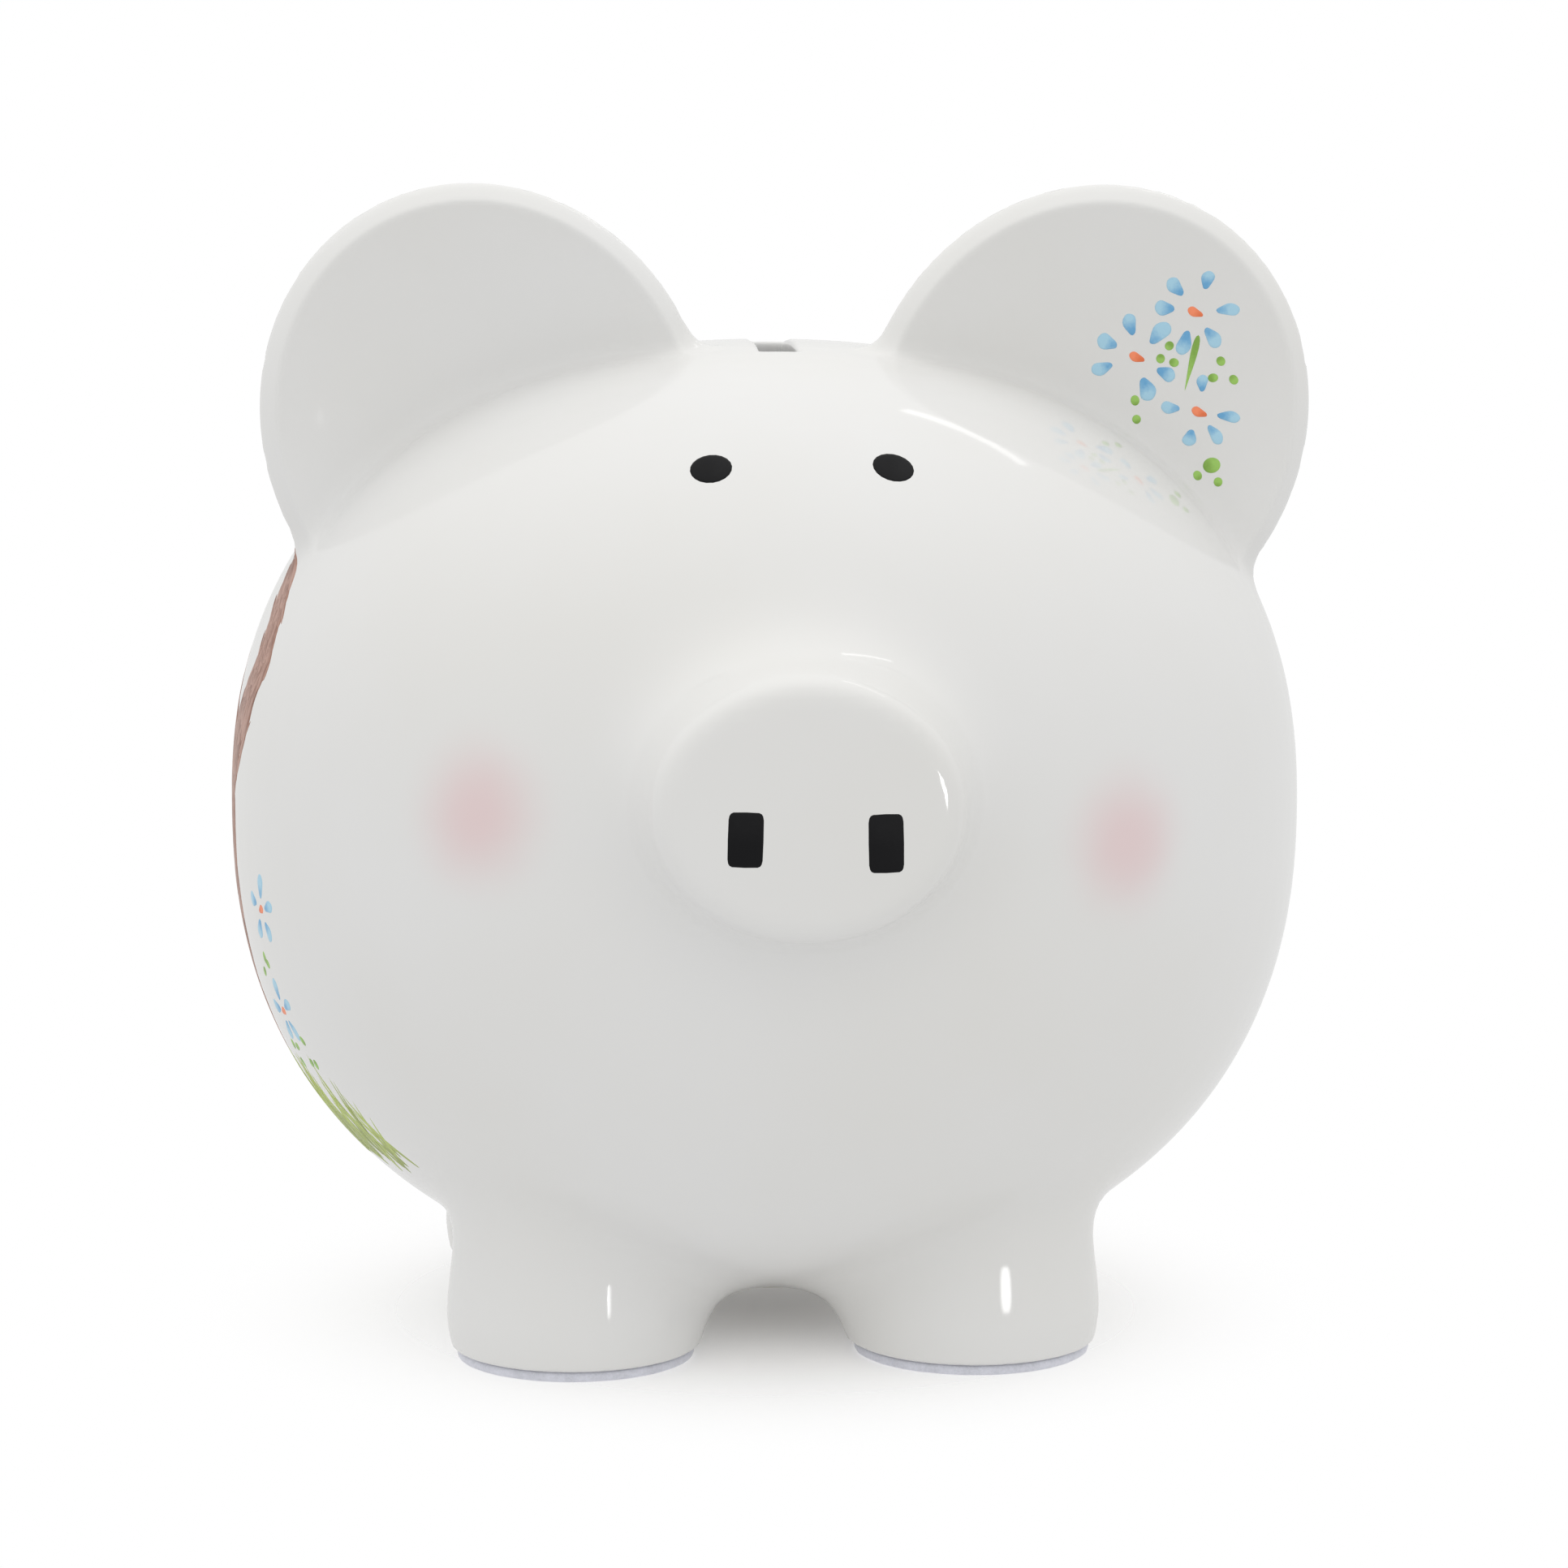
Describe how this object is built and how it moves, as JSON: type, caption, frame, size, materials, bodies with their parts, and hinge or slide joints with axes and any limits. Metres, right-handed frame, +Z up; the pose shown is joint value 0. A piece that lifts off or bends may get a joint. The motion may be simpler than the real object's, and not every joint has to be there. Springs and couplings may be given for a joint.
{
  "type": "piggy bank",
  "caption": "Large-eared round ceramic piggy bank with a coin slot in its back, a pull-out rubber stopper in its belly and felt-padded feet.",
  "frame": {"origin": "on the ground, at the middle of the bounding box seen from above", "axes": "+Z up, -Y the way the pig faces, +X the pig's own left side"},
  "size_m": [0.1937, 0.2162, 0.2061],
  "materials": {
    "glaze": "clear gloss over warm white",
    "stopper_rubber": "soft translucent off-white, satin",
    "felt": "pressed felt",
    "adhesive": "thin tacky film"
  },
  "bodies": {
    "bank": {"body_shell": "glaze", "snout": "glaze", "tail": "glaze", "ear_left": "glaze", "ear_right": "glaze", "leg_front_left": "glaze", "leg_front_right": "glaze", "leg_rear_left": "glaze", "leg_rear_right": "glaze", "felt_pad_front_left": "felt", "felt_pad_front_right": "felt", "felt_pad_rear_left": "felt", "felt_pad_rear_right": "felt", "pad_adhesive_front_left": "adhesive", "pad_adhesive_front_right": "adhesive", "pad_adhesive_rear_left": "adhesive", "pad_adhesive_rear_right": "adhesive"},
    "stopper": {"stopper": "stopper_rubber"}
  },
  "joints": [
    {"name": "stopper_pull", "type": "slide", "parent": "bank", "child": "stopper", "axis": [0, 0, -1], "range_m": [0, 0.024]}
  ]
}
